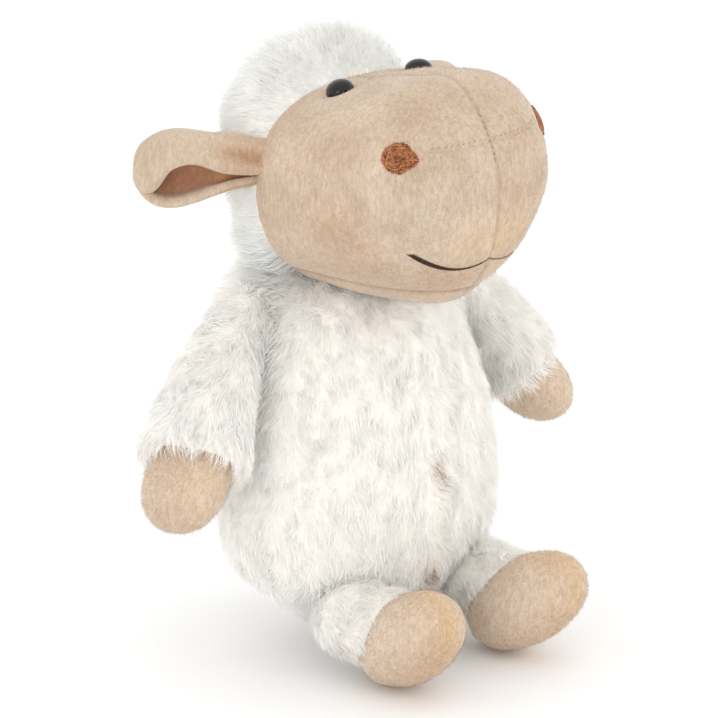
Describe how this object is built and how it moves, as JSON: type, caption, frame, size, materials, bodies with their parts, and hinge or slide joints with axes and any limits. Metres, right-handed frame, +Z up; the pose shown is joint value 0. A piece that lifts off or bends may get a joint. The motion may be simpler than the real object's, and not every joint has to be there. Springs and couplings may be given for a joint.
{
  "type": "plush sheep",
  "caption": "A seated soft toy sheep with a long-pile white body, a tan short-pile face, ears, paws and feet, a stitched smile and a head and limbs that give at their seams.",
  "frame": {"origin": "on the surface it sits on, in the middle of the seat panel's flat underside", "axes": "+Z up, -Y the way the sheep faces, +X towards its left side"},
  "size_m": [0.2346, 0.1656, 0.2617],
  "materials": {
    "white_plush": "warm white long-pile plush, 8 to 10 mm pile brushed downwards",
    "tan_velboa": "tan short-pile velboa with a soft nap",
    "stuffing": "white polyester stuffing",
    "pellet_cotton": "unbleached cotton bag of pellets",
    "nostril_thread": "reddish brown embroidery thread",
    "mouth_thread": "dark brown embroidery thread",
    "glossy_black": "glossy black safety eye",
    "white_plastic": "plain white locking washer"
  },
  "bodies": {
    "trunk": {"seat_panel": "white_plush", "back_panel": "white_plush", "belly_panel_left": "white_plush", "belly_panel_right": "white_plush", "trunk_filling": "stuffing", "pellet_bag": "pellet_cotton"},
    "neck": {"neck_filling": "stuffing"},
    "head": {"head_cap": "white_plush", "face_panel_left": "tan_velboa", "face_panel_right": "tan_velboa", "chin_panel": "tan_velboa", "head_filling": "stuffing", "eye_left": "glossy_black", "eye_right": "glossy_black", "eye_washer_left": "white_plastic", "eye_washer_right": "white_plastic", "nostril_left": "nostril_thread", "nostril_right": "nostril_thread", "mouth_stitching": "mouth_thread"},
    "ear_left": {"ear_back_left": "tan_velboa", "ear_lining_left": "tan_velboa"},
    "ear_right": {"ear_back_right": "tan_velboa", "ear_lining_right": "tan_velboa"},
    "arm_left": {"sleeve_left": "white_plush", "paw_left": "tan_velboa", "arm_filling_left": "stuffing"},
    "arm_right": {"sleeve_right": "white_plush", "paw_right": "tan_velboa", "arm_filling_right": "stuffing"},
    "leg_left": {"leg_left": "white_plush", "foot_left": "tan_velboa", "leg_filling_left": "stuffing"},
    "leg_right": {"leg_right": "white_plush", "foot_right": "tan_velboa", "leg_filling_right": "stuffing"},
    "tail": {"tail": "white_plush"}
  },
  "joints": [
    {"name": "neck_turn", "type": "hinge", "parent": "trunk", "child": "neck", "pos_m": [0, 0.008, 0.124], "axis": [0, 0, 1], "range_deg": [-25, 25], "stiffness_Nm_per_rad": 1.5},
    {"name": "head_nod", "type": "hinge", "parent": "neck", "child": "head", "pos_m": [0, 0.008, 0.124], "axis": [1, 0, 0], "range_deg": [-8, 12], "stiffness_Nm_per_rad": 3},
    {"name": "ear_left_flap", "type": "hinge", "parent": "head", "child": "ear_left", "pos_m": [0.0559, 0.00771, 0.21996], "axis": [0.829, -0.5592, 0], "range_deg": [-20, 20], "stiffness_Nm_per_rad": 0.05},
    {"name": "ear_right_flap", "type": "hinge", "parent": "head", "child": "ear_right", "pos_m": [-0.0559, 0.00771, 0.21996], "axis": [0.829, 0.5592, 0], "range_deg": [-20, 20], "stiffness_Nm_per_rad": 0.05},
    {"name": "shoulder_left", "type": "hinge", "parent": "trunk", "child": "arm_left", "pos_m": [0.0505, 0.016, 0.15], "axis": [0, -1, 0], "range_deg": [0, 40], "stiffness_Nm_per_rad": 0.15},
    {"name": "shoulder_right", "type": "hinge", "parent": "trunk", "child": "arm_right", "pos_m": [-0.0505, 0.016, 0.15], "axis": [0, 1, 0], "range_deg": [0, 40], "stiffness_Nm_per_rad": 0.15},
    {"name": "hip_left", "type": "hinge", "parent": "trunk", "child": "leg_left", "pos_m": [0.036, -0.036, 0.026], "axis": [0, 0, 1], "range_deg": [-8, 22], "stiffness_Nm_per_rad": 0.3},
    {"name": "hip_right", "type": "hinge", "parent": "trunk", "child": "leg_right", "pos_m": [-0.036, -0.036, 0.026], "axis": [0, 0, -1], "range_deg": [-8, 22], "stiffness_Nm_per_rad": 0.3},
    {"name": "tail_lift", "type": "hinge", "parent": "trunk", "child": "tail", "pos_m": [0, 0.0495, 0.046], "axis": [1, 0, 0], "range_deg": [-5, 35], "stiffness_Nm_per_rad": 0.03}
  ]
}
